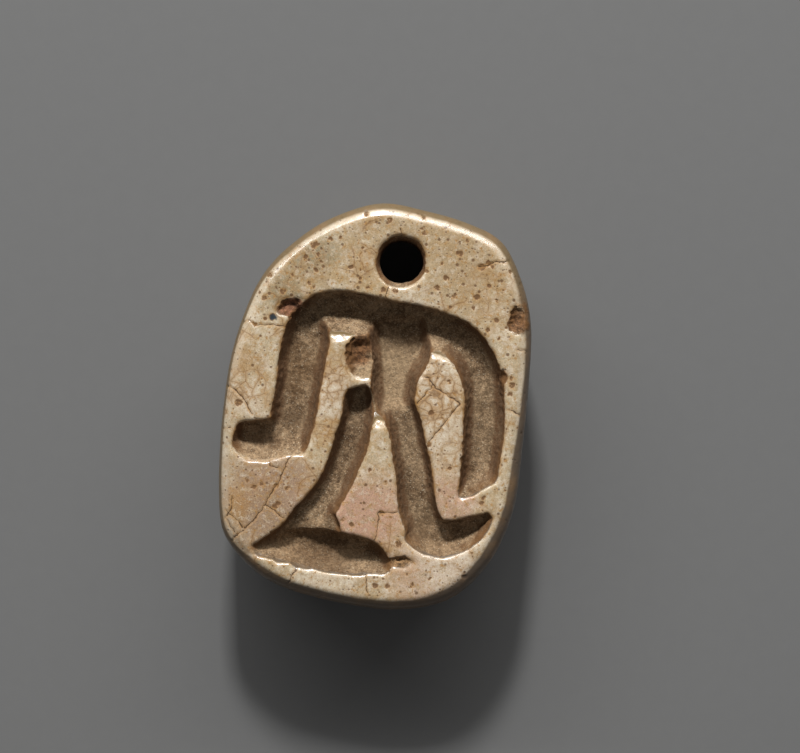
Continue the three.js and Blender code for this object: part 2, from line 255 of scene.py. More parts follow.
class AmuletSurface(bpy.types.PropertyGroup):
    """Sizes of the wear on the amulet's surface."""

    grid_step: length(
        "Grid step", "Size of the mesh's squares before the plain sides are thinned", 0.00006
    )
    triangles: IntProperty(
        name="Triangles",
        description="Most triangles in the finished piece",
        default=196000,
    )
    lip_smoothing: IntProperty(
        name="Lip smoothing",
        description="Passes that round every edge of the cuts",
        default=10,
    )
    worn_smoothing: IntProperty(
        name="Worn lip smoothing",
        description="Passes that round the edges that face the upper end further",
        default=80,
    )
    wander: length(
        "Wander of the cuts", "How far the edges of the cuts stray from their lines", 0.00007
    )
    unevenness: length("Unevenness", "Height of the broad swells in the uncut surface", 0.000025)
    tool_marks: length("Tool marks", "Depth of the marks left in the floors of the cuts", 0.00005)
    grain: length("Grain", "Depth of the grain of the bare stone", 0.000026)
    pit_spacing: length("Pit spacing", "Usual distance from one small pit to the next", 0.00045)
    pit_depth: length("Pit depth", "Depth of the pits in the glaze", 0.000025)
    crack_depth: length("Crack depth", "Depth of the cracks in the glaze", 0.000025)
    fracture: length("Fracture", "Roughness of the broken stone in the chips", 0.00009)
    steepness: FloatProperty(
        name="Steepness",
        description="Fall of the worn lips towards the upper end, as a share of the way",
        default=0.53,
    )


class AmuletColours(bpy.types.PropertyGroup):
    """Colours of the glaze, of its stains and of the bare stone."""

    cream: colour("Cream", "Clean glaze", (0.52, 0.42, 0.275))
    tan: colour("Tan", "Dulled glaze", (0.36, 0.245, 0.125))
    amber: colour("Amber", "Yellow clouds in the glaze", (0.42, 0.265, 0.11))
    chalk: colour("Chalk", "Whitest glaze", (0.68, 0.59, 0.46))
    blush: colour("Blush", "Pinkish glaze", (0.49, 0.295, 0.20))
    dusk: colour("Dusk", "Greyed pink glaze at the lower left", (0.31, 0.205, 0.13))
    olive: colour("Olive", "Grey-green mottles", (0.24, 0.205, 0.125))
    ochre: colour("Ochre", "Yellow-brown clouds and haloes", (0.38, 0.195, 0.055))
    rust: colour("Rust", "Fillings of pits and craze lines", (0.14, 0.068, 0.026))
    slate: colour("Slate", "Blue-black filling of one pit", (0.02, 0.028, 0.035))
    crack: colour("Crack", "Dirt in the cracks", (0.10, 0.05, 0.02))
    side: colour("Side", "Glaze of the sides", (0.15, 0.10, 0.045))
    # Painted shade: the darker glaze of the sides turned away from the light
    shaded_side: colour("Dark side", "Glaze of the lower and right sides", (0.095, 0.066, 0.044))
    stone_light: colour("Stone, light", "Light grains of the bare stone", (0.36, 0.245, 0.14))
    stone_dark: colour("Stone, dark", "Dark grains of the bare stone", (0.11, 0.062, 0.029))
    glint: colour("Glint", "Palest crystals of the bare stone", (0.58, 0.48, 0.34))
    pale_stone: colour("Pale stone", "Least stained floors of the cuts", (0.40, 0.28, 0.16))
    ochre_stone: colour("Ochre stone", "Yellow-brown floors of the cuts", (0.22, 0.125, 0.055))
    umber: colour("Umber", "Brown stone of the chips", (0.15, 0.07, 0.028))
    russet: colour("Russet", "Reddish stone by the upper left end", (0.17, 0.072, 0.038))
    # Partly stain, partly painted shade: the dark brown of the walls that turn sideways to the
    # light
    wall_stain_and_shade: colour("Wall", "Stained side walls of the cuts", (0.12, 0.058, 0.024))
    wall_lip: colour("Wall lip", "Orange-brown line under the lips", (0.165, 0.075, 0.022))


class AmuletStage(bpy.types.PropertyGroup):
    """Floor, light and camera."""

    floor_size: length("Floor size", "Side of the square floor", 1.2)
    floor_colour: colour("Floor colour", "Colour of the plain floor", (0.15, 0.15, 0.148))
    key_power: power("Key light", "Power of the main light", 0.85)
    strip_power: power("Strip light", "Power of the long light that shines in the upper rim", 0.85)
    strip_length: length("Strip length", "Length of the long light", 0.6)
    strip_width: length("Strip width", "Width of the long light", 0.022)
    key_height: angle("Key height", "Angle of the main light above the floor", 36)
    key_turn: angle("Key turn", "Angle of the main light from the upper end towards the left", 8)
    key_distance: length("Key distance", "Distance of the main light from the amulet", 0.3)
    key_size: length("Key size", "Side of the main light", 0.035)
    fill: FloatProperty(
        name="Fill",
        description="Strength of the even light from all round",
        default=0.15,
    )
    camera_height: length("Camera height", "Height of the camera above the floor", 0.1552)
    camera_place: FloatVectorProperty(
        name="Camera place",
        description="Point of the floor under the camera",
        default=(0.000887, 0.001215),
        size=2,
        subtype="XYZ",
        unit="LENGTH",
    )
    camera_turn: angle("Camera turn", "Turn of the camera about its line of sight", 4.5)
    lens: FloatProperty(
        name="Lens",
        description="Focal length in millimetres for a 36 mm sensor",
        default=172.5,
    )


class Nodes:
    """Adds nodes to one tree. A value may be a number, a tuple or another node's output."""

    MIX_SOCKETS = {"FLOAT": (2, 3, 0), "VECTOR": (4, 5, 1), "RGBA": (6, 7, 2)}

    def __init__(self, tree):
        self.tree = tree

    def feed(self, socket, value):
        if isinstance(value, bpy.types.NodeSocket):
            self.tree.links.new(value, socket)
        else:
            socket.default_value = value

    def add(self, kind, inputs=None, **settings):
        node = self.tree.nodes.new(kind)
        for name, value in settings.items():
            setattr(node, name, value)
        for name, value in (inputs or {}).items():
            self.feed(node.inputs[name], value)
        return node

    def math(self, operation, *values):
        node = self.add("ShaderNodeMath", operation=operation)
        for socket, value in zip(node.inputs, values):
            self.feed(socket, value)
        return node.outputs[0]

    def product(self, *values):
        total = values[0]
        for value in values[1:]:
            total = self.math("MULTIPLY", total, value)
        return total

    def total(self, *values):
        result = values[0]
        for value in values[1:]:
            result = self.math("ADD", result, value)
        return result

    def minus(self, first, second):
        return self.math("SUBTRACT", first, second)

    def larger(self, first, second):
        return self.math("MAXIMUM", first, second)

    def vector(self, operation, *values):
        node = self.add("ShaderNodeVectorMath", operation=operation)
        for socket, value in zip(node.inputs, values):
            self.feed(socket, value)
        single = operation in ("LENGTH", "DISTANCE", "DOT_PRODUCT")
        return node.outputs["Value" if single else "Vector"]

    def scaled(self, vector, factor):
        inputs = {"Vector": vector, "Scale": factor}
        return self.add("ShaderNodeVectorMath", inputs, operation="SCALE").outputs["Vector"]

    def split(self, vector):
        return self.add("ShaderNodeSeparateXYZ", {"Vector": vector}).outputs

    def combine(self, x, y, z):
        return self.add("ShaderNodeCombineXYZ", {"X": x, "Y": y, "Z": z}).outputs[0]

    def ramp(self, value, start, end, low=0.0, high=1.0):
        """Goes smoothly from low to high while value goes from start to end."""
        inputs = {"Value": value, "From Min": start, "From Max": end, "To Min": low, "To Max": high}
        node = self.add("ShaderNodeMapRange", inputs, interpolation_type="SMOOTHSTEP")
        return node.outputs["Result"]

    def mix(self, factor, first, second, kind="RGBA", blend="MIX"):
        node = self.add("ShaderNodeMix", data_type=kind)
        if kind == "RGBA":
            node.blend_type = blend
        first_socket, second_socket, output = self.MIX_SOCKETS[kind]
        self.feed(node.inputs[0], factor)
        self.feed(node.inputs[first_socket], first)
        self.feed(node.inputs[second_socket], second)
        return node.outputs[output]

    def laid(self, tint, mask, rgb):
        """A colour laid over a tint as far as the mask says."""
        return self.mix(mask, tint, opaque(rgb))

    def noise(self, vector, per_mm, detail=2.0, roughness=0.5, output=0):
        inputs = {"Vector": vector, "Scale": per_mm, "Detail": detail, "Roughness": roughness}
        return self.add("ShaderNodeTexNoise", inputs).outputs[output]

    def swell(self, vector, per_mm, height, detail=2.0):
        """Noise that swings evenly to both sides of zero, as far as height."""
        level = self.minus(self.noise(vector, per_mm, detail), 0.5)
        return self.product(level, 2.0, height)


def new_group(name, kind, inputs, outputs):
    """An empty node group with named sockets: each is a name, a type and a default value."""
    tree = bpy.data.node_groups.new(name, kind)
    for socket_name, socket_type, value in inputs:
        socket = tree.interface.new_socket(
            name=socket_name, in_out="INPUT", socket_type="NodeSocket" + socket_type
        )
        if value is not None:
            socket.default_value = value
    for socket_name, socket_type in outputs:
        tree.interface.new_socket(
            name=socket_name, in_out="OUTPUT", socket_type="NodeSocket" + socket_type
        )
    nodes = Nodes(tree)
    entry = nodes.add("NodeGroupInput")
    end = nodes.add("NodeGroupOutput")
    return nodes, entry.outputs, end.inputs


def opaque(rgb):
    return (*rgb, 1.0)


# The worn surface, as one Geometry Nodes tree that works in millimetres


def live(sockets, name=None):
    """The first socket in use, of that name where one is given."""
    return next(entry for entry in sockets if entry.enabled and name in (None, entry.name))


def blurred(nodes, value, passes, kind="FLOAT"):
    inputs = {"Iterations": passes, "Weight": 1.0}
    node = nodes.add("GeometryNodeBlurAttribute", inputs, data_type=kind)
    nodes.feed(live(node.inputs, "Value"), value)
    return live(node.outputs)


def stored(nodes, geometry, name, value, kind="FLOAT"):
    inputs = {"Geometry": geometry, "Name": name}
    node = nodes.add("GeometryNodeStoreNamedAttribute", inputs, data_type=kind, domain="POINT")
    nodes.feed(live(node.inputs, "Value"), value)
    return node.outputs["Geometry"]


def named(nodes, name, kind="FLOAT"):
    node = nodes.add("GeometryNodeInputNamedAttribute", {"Name": name}, data_type=kind)
    return live(node.outputs, "Attribute")


def nearest_on(nodes, geometry, element, place):
    """The distance to a geometry's nearest face or edge, and the nearest place on it."""
    node = nodes.add("GeometryNodeProximity", target_element=element)
    nodes.feed(node.inputs[0], geometry)
    nodes.feed(node.inputs["Sample Position"], place)
    return node.outputs


def moved(nodes, geometry, **inputs):
    node = nodes.add("GeometryNodeSetPosition", {"Geometry": geometry})
    for name, value in inputs.items():
        nodes.feed(node.inputs[name], value)
    return node.outputs["Geometry"]


def object_geometry(nodes, source):
    return nodes.add("GeometryNodeObjectInfo", {"Object": source}).outputs["Geometry"]


def scattered_pits(nodes, flat, spacing, crowding):
    """Small round pits of all sizes, one at most in each cell of a scattered pattern."""
    cells = nodes.add(
        "ShaderNodeTexVoronoi",
        {"Vector": flat, "Scale": nodes.math("DIVIDE", 1.0, spacing)},
        voronoi_dimensions="2D",
    )
    chance = nodes.split(cells.outputs["Color"])
    away = nodes.product(cells.outputs["Distance"], spacing)
    size = nodes.product(nodes.ramp(chance[0], crowding, 1.0, 0.0, 0.3), spacing)
    rim = nodes.product(size, 0.5)
    return nodes.ramp(away, nodes.total(size, 0.001), rim)


def named_pits(nodes, pits, flat):
    """The pits that are listed one by one, as a bowl of each one's own radius."""
    nearest = nodes.add("GeometryNodeSampleNearest", {"Geometry": pits, "Sample Position": flat})
    inputs = {"Geometry": pits, "Index": nearest.outputs["Index"]}
    place = nodes.add("GeometryNodeSampleIndex", inputs, data_type="FLOAT_VECTOR")
    reach = nodes.add("GeometryNodeSampleIndex", inputs, data_type="FLOAT")
    nodes.feed(live(place.inputs, "Value"), nodes.add("GeometryNodeInputPosition").outputs[0])
    nodes.feed(live(reach.inputs, "Value"), named(nodes, "reach"))
    centre = live(place.outputs)
    radius = live(reach.outputs)
    away = nodes.vector("DISTANCE", flat, centre)
    return nodes.ramp(away, radius, nodes.product(radius, 0.35))


def worn_slopes(nodes, position, axes, steepness):
    """How far each worn lip's slope lies below the uncut surface."""
    deepest = 0.0
    uneven = nodes.total(axes[1], nodes.swell(position, 3.2, 0.13, 3.0))
    for x, y, reach, wear in WORN_LIPS:
        aside = nodes.minus(axes[0], x)
        beyond = nodes.larger(nodes.minus(uneven, y - wear), 0.0)
        eased = nodes.math("DIVIDE", beyond, nodes.total(beyond, 0.06))
        near = nodes.ramp(nodes.math("ABSOLUTE", aside), reach, 0.4 * reach)
        above = nodes.ramp(axes[1], y + 0.5, y + 0.2)
        drop = nodes.product(near, above, beyond, eased, steepness)
        deepest = nodes.larger(deepest, drop)
    return nodes.product(deepest, nodes.ramp(axes[2], FACE_MM - 1.0, FACE_MM - 0.6))


def chipped_zones(nodes, flat):
    broken = 0.0
    for x, y, radius in (spot[:3] for spot in CHIPPED):
        away = nodes.vector("DISTANCE", flat, (x, y, 0.0))
        broken = nodes.larger(broken, nodes.ramp(away, radius, 0.6 * radius))
    return broken


def broken_stone(nodes, position, broken, fracture):
    """Height of the angular break in the chips."""
    facets = nodes.add("ShaderNodeTexVoronoi", {"Vector": position, "Scale": 2.6})
    lumps = nodes.minus(facets.outputs["Distance"], 0.45)
    rough = nodes.total(nodes.product(lumps, 1.4), nodes.swell(position, 4.5, 0.7, 3.0))
    return nodes.product(broken, rough, fracture)


def socket_name(size):
    return size.replace("_", " ").capitalize()


def worn_surface_tree():
    """Rounds the lips of the cuts, roughens them, and cuts the pits and cracks."""
    nodes, entry, end = new_group(
        "Worn surface",
        "GeometryNodeTree",
        [
            ("Geometry", "Geometry", None),
            ("Pits", "Object", None),
            ("Cracks", "Object", None),
            ("Material", "Material", None),
            ("Lip smoothing", "Int", 0),
            ("Worn lip smoothing", "Int", 0),
            ("Steepness", "Float", 0.0),
            *((socket_name(size), "Float", 0.0) for size in WORN_SIZES),
        ],
        [("Geometry", "Geometry")],
    )
    position = nodes.add("GeometryNodeInputPosition").outputs[0]
    normal = nodes.add("GeometryNodeInputNormal").outputs[0]
    axes = nodes.split(position)
    flat = nodes.combine(axes[0], axes[1], 0.0)

    # Every edge is rounded a little, and what lies below the uncut surface is measured
    rounded = moved(
        nodes,
        entry["Geometry"],
        Position=blurred(nodes, position, entry["Lip smoothing"], "FLOAT_VECTOR"),
    )
    hull = nodes.add("GeometryNodeConvexHull", {"Geometry": rounded}).outputs[0]
    depth = nearest_on(nodes, hull, "FACES", position)["Distance"]
    rounded = stored(nodes, rounded, "sunk", depth)
    sunk = named(nodes, "sunk")
    beside_cut = nodes.ramp(blurred(nodes, sunk, 10), 0.01, 0.08)
    rounded = stored(nodes, rounded, "lip", beside_cut)
    beside_cut = named(nodes, "lip")

    # The lips that face the upper end are worn rounder, and the floors are a little hollow
    facing_up = nodes.ramp(nodes.split(normal)[1], 0.05, 0.45)
    upper_part = nodes.ramp(sunk, 0.6, 0.15)
    patchy_wear = nodes.ramp(nodes.noise(position, 1.5, 2.0), 0.3, 0.6, 0.35, 1.0)
    worn_lips = nodes.product(beside_cut, facing_up, upper_part, patchy_wear)
    hollow = nodes.ramp(sunk, 0.25, 0.5, 0.0, 0.3)
    uncut = nodes.ramp(sunk, 0.08, 0.03)
    fallen = nodes.product(nodes.ramp(axes[2], FACE_MM - 0.03, FACE_MM - 0.1), uncut)
    rim = nodes.product(nodes.ramp(blurred(nodes, fallen, 20), 0.02, 0.3), uncut)
    rim = nodes.product(rim, nodes.ramp(axes[2], FACE_MM - 0.8, FACE_MM - 0.4), 0.85)
    rounded = stored(nodes, rounded, "rim", rim)
    rim = named(nodes, "rim")
    worn = nodes.larger(nodes.larger(worn_lips, hollow), rim)
    worn = blurred(nodes, worn, 6)
    wide = blurred(nodes, position, entry["Worn lip smoothing"], "FLOAT_VECTOR")
    rounded = moved(nodes, rounded, Position=nodes.mix(worn, position, wide, "VECTOR"))

    # The edges of the cuts stray from their lines
    broad_stray = nodes.vector("SUBTRACT", nodes.noise(position, 1.1, 2.0, output=1), HALVES)
    fine_stray = nodes.vector("SUBTRACT", nodes.noise(position, 4.5, 1.0, output=1), HALVES)
    stray = nodes.vector("ADD", broad_stray, nodes.scaled(fine_stray, 0.6))
    sideways = nodes.vector("MULTIPLY", stray, (2.0, 2.0, 0.0))
    broken = chipped_zones(nodes, flat)
    amount = nodes.product(entry["Wander"], beside_cut, nodes.ramp(broken, 0.0, 1.0, 1.0, 2.6))
    rounded = moved(nodes, rounded, Offset=nodes.scaled(sideways, amount))
    depth = nearest_on(nodes, hull, "FACES", position)["Distance"]
    rounded = stored(nodes, rounded, "sunk", depth)
    facing = blurred(nodes, normal, 3, "FLOAT_VECTOR")
    rounded = stored(nodes, rounded, "facing", facing, "FLOAT_VECTOR")

    # Masks of the uncut face, the bare stone and the floors of the cuts
    bare = nodes.ramp(sunk, 0.05, 0.16)
    land = nodes.minus(1.0, bare)
    on_face = nodes.product(land, nodes.ramp(axes[2], FACE_MM - 0.5, FACE_MM - 0.3))
    upright = nodes.math("ABSOLUTE", nodes.split(named(nodes, "facing", "FLOAT_VECTOR"))[2])
    level = nodes.ramp(upright, 0.7, 0.92)
    floors = nodes.product(bare, level)

    # Pits, cracks and broad swells of the glazed surface
    patches = nodes.noise(flat, 0.35, 1.0)
    upper_band = nodes.ramp(axes[1], 2.8, 4.6, 0.0, 0.22)
    crowding = nodes.minus(nodes.ramp(patches, 0.35, 0.65, 0.95, 0.72), upper_band)
    bend = nodes.vector("SUBTRACT", nodes.noise(flat, 5.0, 3.0, 0.6, output=1), HALVES)
    ragged = nodes.vector("ADD", flat, nodes.vector("MULTIPLY", bend, (0.26, 0.26, 0.0)))
    small = scattered_pits(nodes, ragged, entry["Pit spacing"], crowding)
    large = named_pits(nodes, object_geometry(nodes, entry["Pits"]), ragged)
    pits = nodes.product(nodes.larger(small, large), on_face)
    rounded = stored(nodes, rounded, "pit", pits)
    nearest = nearest_on(nodes, object_geometry(nodes, entry["Cracks"]), "EDGES", ragged)
    away = nearest["Distance"]
    aside = nodes.vector("SUBTRACT", nearest["Position"], ragged)
    beyond = nodes.product(nodes.larger(nodes.minus(away, 0.08), 0.0), 4.0)
    off_face = nodes.product(nodes.minus(1.0, on_face), 2.0)
    crack = nodes.vector("ADD", aside, nodes.combine(0.0, 0.0, nodes.total(beyond, off_face)))
    rounded = stored(nodes, rounded, "crack", crack, "FLOAT_VECTOR")
    groove = nodes.product(nodes.ramp(away, 0.07, 0.01), on_face)

    height = nodes.total(
        nodes.product(land, nodes.swell(position, 0.4, entry["Unevenness"])),
        nodes.product(land, nodes.swell(position, 2.0, 0.006)),
        nodes.product(floors, nodes.swell(position, 2.4, entry["Tool marks"], 3.0)),
        nodes.product(bare, nodes.swell(position, 7.0, entry["Grain"], 3.0)),
        nodes.product(bare, broken_stone(nodes, position, broken, entry["Fracture"])),
        nodes.product(pits, -1.0, entry["Pit depth"]),
        nodes.product(groove, -1.0, entry["Crack depth"]),
    )
    off_back = nodes.ramp(axes[2], 0.05, 0.6)
    offset = nodes.scaled(normal, nodes.product(height, off_back))
    finished = moved(nodes, rounded, Offset=offset)
    slopes = worn_slopes(nodes, position, axes, entry["Steepness"])
    slopes = nodes.product(slopes, nodes.ramp(sunk, 0.5, 0.0))
    finished = stored(nodes, finished, "slope", slopes)
    resting = nodes.larger(nodes.minus(axes[2], named(nodes, "slope")), 0.0)
    finished = moved(nodes, finished, Position=nodes.combine(axes[0], axes[1], resting))
    smooth = nodes.add("GeometryNodeSetShadeSmooth", {"Geometry": finished}).outputs[0]
    joined = nodes.add("GeometryNodeRealizeInstances", {"Geometry": smooth}).outputs[0]
    painted = nodes.add(
        "GeometryNodeSetMaterial", {"Geometry": joined, "Material": entry["Material"]}
    )
    nodes.feed(end["Geometry"], painted.outputs[0])
    return nodes.tree


# Shader groups, which read places in millimetres


def stain_group():
    """A round stain with a ragged edge."""
    nodes, entry, end = new_group(
        "Stain",
        "ShaderNodeTree",
        [
            ("Place", "Vector", None),
            ("Centre", "Vector", None),
            ("Radius", "Float", 1.0),
            ("Strength", "Float", 1.0),
        ],
        [("Mask", "Float")],
    )
    flat = nodes.vector("MULTIPLY", entry["Place"], (1.0, 1.0, 0.0))
    away = nodes.vector("DISTANCE", flat, entry["Centre"])
    share = nodes.math("DIVIDE", away, entry["Radius"])
    fineness = nodes.math("DIVIDE", 1.0, entry["Radius"])
    ragged = nodes.total(share, nodes.swell(entry["Place"], fineness, 0.8, 4.0))
    mask = nodes.ramp(ragged, 1.1, 0.3)
    nodes.feed(end["Mask"], nodes.product(mask, entry["Strength"]))
    return nodes.tree


def craze_group():
    """A net of fine craze lines, in patches, with a soft halo beside each line."""
    nodes, entry, end = new_group(
        "Craze",
        "ShaderNodeTree",
        [
            ("Place", "Vector", None),
            ("Lines per mm", "Float", 1.0),
            ("Width", "Float", 0.03),
            ("Patches", "Float", 0.5),
            ("Placed", "Float", 0.0),
        ],
        [("Line", "Float"), ("Halo", "Float")],
    )
    bend = nodes.vector("SUBTRACT", nodes.noise(entry["Place"], 1.6, 3.0, output=1), HALVES)
    bent = nodes.vector("ADD", entry["Place"], nodes.scaled(bend, 0.5))
    cells = nodes.add(
        "ShaderNodeTexVoronoi",
        {"Vector": bent, "Scale": entry["Lines per mm"]},
        feature="DISTANCE_TO_EDGE",
    )
    away = nodes.math("DIVIDE", cells.outputs["Distance"], entry["Lines per mm"])
    patchy = nodes.noise(entry["Place"], 0.55, 3.0)
    patchy = nodes.ramp(patchy, entry["Patches"], nodes.total(entry["Patches"], 0.12))
    patchy = nodes.larger(patchy, entry["Placed"])
    nodes.feed(end["Line"], nodes.product(nodes.ramp(away, entry["Width"], 0.0), patchy))
    wide = nodes.product(entry["Width"], 5.0)
    nodes.feed(end["Halo"], nodes.product(nodes.ramp(away, wide, 0.0), patchy))
    return nodes.tree


def speck_group():
    """Specks and pinholes too small for the mesh."""
    nodes, entry, end = new_group(
        "Specks",
        "ShaderNodeTree",
        [
            ("Place", "Vector", None),
            ("Spacing", "Float", 0.3),
            ("Share", "Float", 0.3),
        ],
        [("Mask", "Float")],
    )
    cells = nodes.add(
        "ShaderNodeTexVoronoi",
        {"Vector": entry["Place"], "Scale": nodes.math("DIVIDE", 1.0, entry["Spacing"])},
    )
    chance = nodes.split(cells.outputs["Color"])
    emptier = nodes.minus(1.0, entry["Share"])
    size = nodes.ramp(chance[1], emptier, 1.0, 0.0, 0.4)
    mask = nodes.ramp(cells.outputs["Distance"], nodes.total(size, 0.001), nodes.product(size, 0.4))
    nodes.feed(end["Mask"], mask)
    return nodes.tree


def stone_group():
    """Granular bare stone: its colour and the height of its grain."""
    nodes, entry, end = new_group(
        "Stone grain",
        "ShaderNodeTree",
        [
            ("Place", "Vector", None),
            ("Light", "Color", None),
            ("Dark", "Color", None),
            ("Glint", "Color", None),
        ],
        [("Color", "Color"), ("Height", "Float")],
    )
    clouds = nodes.noise(entry["Place"], 1.1, 4.0, 0.6)
    lumps = nodes.noise(entry["Place"], 4.5, 3.0, 0.6)
    grain = nodes.noise(entry["Place"], 19.0, 4.0, 0.8)
    level = nodes.total(
        nodes.product(clouds, 0.35), nodes.product(lumps, 0.2), nodes.product(grain, 0.45)
    )
    tint = nodes.mix(nodes.ramp(level, 0.41, 0.59), entry["Dark"], entry["Light"])
    crystals = nodes.add("ShaderNodeTexVoronoi", {"Vector": entry["Place"], "Scale": 17.0})
    chance = nodes.split(crystals.outputs["Color"])
    core = nodes.ramp(crystals.outputs["Distance"], 0.5, 0.2)
    pale = nodes.product(core, nodes.ramp(chance[0], 0.78, 0.88, 0.0, 0.85))
    tint = nodes.mix(pale, tint, entry["Glint"])
    hollow = nodes.product(core, nodes.ramp(chance[1], 0.8, 0.9, 0.0, 0.6))
    nodes.feed(end["Color"], nodes.mix(hollow, tint, entry["Dark"]))
    height = nodes.total(
        nodes.product(lumps, 0.4),
        nodes.product(grain, 0.5),
        nodes.product(pale, 0.3),
        nodes.product(hollow, -0.4),
    )
    nodes.feed(end["Height"], height)
    return nodes.tree


def placed(nodes, tree, inputs):
    node = nodes.add("ShaderNodeGroup", node_tree=tree)
    for name, value in inputs.items():
        nodes.feed(node.inputs[name], value)
    return node.outputs


def attribute(nodes, name, output="Fac"):
    return nodes.add("ShaderNodeAttribute", attribute_name=name).outputs[output]


def stain_mask(nodes, place, x, y, radius, strength):
    group = bpy.data.node_groups.get("Stain") or stain_group()
    inputs = {"Place": place, "Centre": (x, y, 0.0), "Radius": radius, "Strength": strength}
    return placed(nodes, group, inputs)["Mask"]


def stained(nodes, place, colours, tint, stains):
    """Lays a list of stains over a tint, in order. They stay on the carved side."""
    above = nodes.ramp(nodes.split(place)[2], 2.0, 2.8)
    for x, y, radius, name, strength in stains:
        mask = stain_mask(nodes, place, x, y, radius, nodes.product(above, strength))
        tint = nodes.laid(tint, mask, getattr(colours, name))
    return tint


def mottled(nodes, place, colours, tint, mottles):
    for name, per_mm, detail, roughness, start, end, strength in mottles:
        marks = nodes.noise(place, per_mm, detail, roughness)
        mask = nodes.ramp(marks, start, end, 0.0, strength)
        tint = nodes.laid(tint, mask, getattr(colours, name))
    return tint


def glaze_colour(nodes, place, colours):
    """Cream glaze with broad stains, then mottles of each size down to fine grains."""
    tint = mottled(nodes, place, colours, opaque(colours.cream), BROAD_MOTTLES)
    tint = stained(nodes, place, colours, tint, STAINS)
    tint = mottled(nodes, place, colours, tint, FINE_MOTTLES)
    grain = nodes.noise(place, 22.0, 3.0, 0.7)
    return nodes.mix(0.8, tint, nodes.mix(1.0, tint, grain, blend="OVERLAY"))


def new_material(name):
    """An empty material, its nodes, and each point's place in millimetres."""
    material = bpy.data.materials.new(name)
    material.use_nodes = True
    material.node_tree.nodes.clear()
    nodes = Nodes(material.node_tree)
    place = nodes.scaled(nodes.add("ShaderNodeTexCoord").outputs["Object"], MM)
    return material, nodes, place


def finish_material(nodes, inputs):
    shader = nodes.add("ShaderNodeBsdfPrincipled", inputs)
    nodes.add("ShaderNodeOutputMaterial", {"Surface": shader.outputs[0]})


